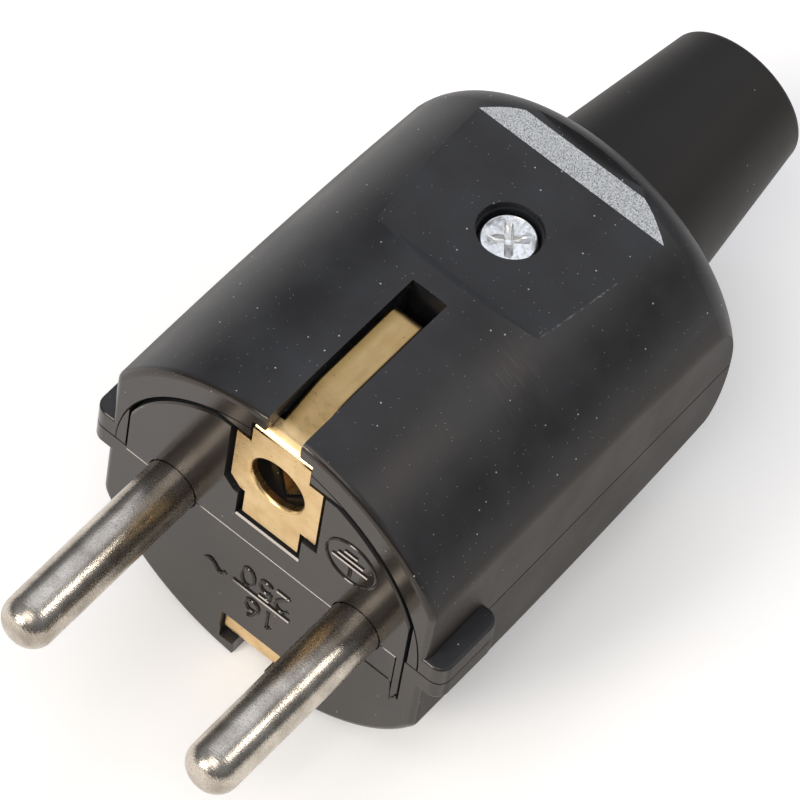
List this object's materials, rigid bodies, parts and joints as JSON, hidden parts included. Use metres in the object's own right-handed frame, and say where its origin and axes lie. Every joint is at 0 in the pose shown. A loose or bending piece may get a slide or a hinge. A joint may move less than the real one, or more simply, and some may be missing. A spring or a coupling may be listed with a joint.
{
  "type": "electrical plug",
  "caption": "Rewirable earthed mains plug: two-part moulded barrel with grip facets, round contact pins, folded side earth straps, an earth pin hole in the face and a soft tapered cord guard.",
  "frame": {"origin": "middle of the engagement face, half way between the contact pins", "axes": "+X from the left pin to the right pin, -Y the way the pins point, +Y along the cord axis, +Z towards the housing screw's head"},
  "size_m": [0.0362, 0.0793, 0.0364],
  "materials": {
    "housing": "black moulded thermoset plastic, satin with fine dust",
    "pin_plating": "nickel-plated turned brass",
    "earth_brass": "stamped sheet brass, satin",
    "zinc_screw": "zinc-plated steel",
    "clamp_plastic": "black moulded plastic",
    "guard_rubber": "black soft PVC, matte"
  },
  "bodies": {
    "root": {"upper_shell": "housing", "lower_shell": "housing", "pin_carrier": "housing", "left_pin": "pin_plating", "right_pin": "pin_plating", "left_terminal_screw": "zinc_screw", "right_terminal_screw": "zinc_screw", "front_earth_contact": "earth_brass", "lower_earth_strap": "earth_brass", "earth_sleeve": "earth_brass", "earth_bridge": "earth_brass", "earth_clamp_washer": "zinc_screw", "earth_terminal_screw": "zinc_screw", "housing_screw": "zinc_screw", "housing_nut": "zinc_screw", "cord_clamp": "clamp_plastic", "left_clamp_screw": "zinc_screw", "right_clamp_screw": "zinc_screw", "cord_guard": "guard_rubber"}
  },
  "joints": []
}
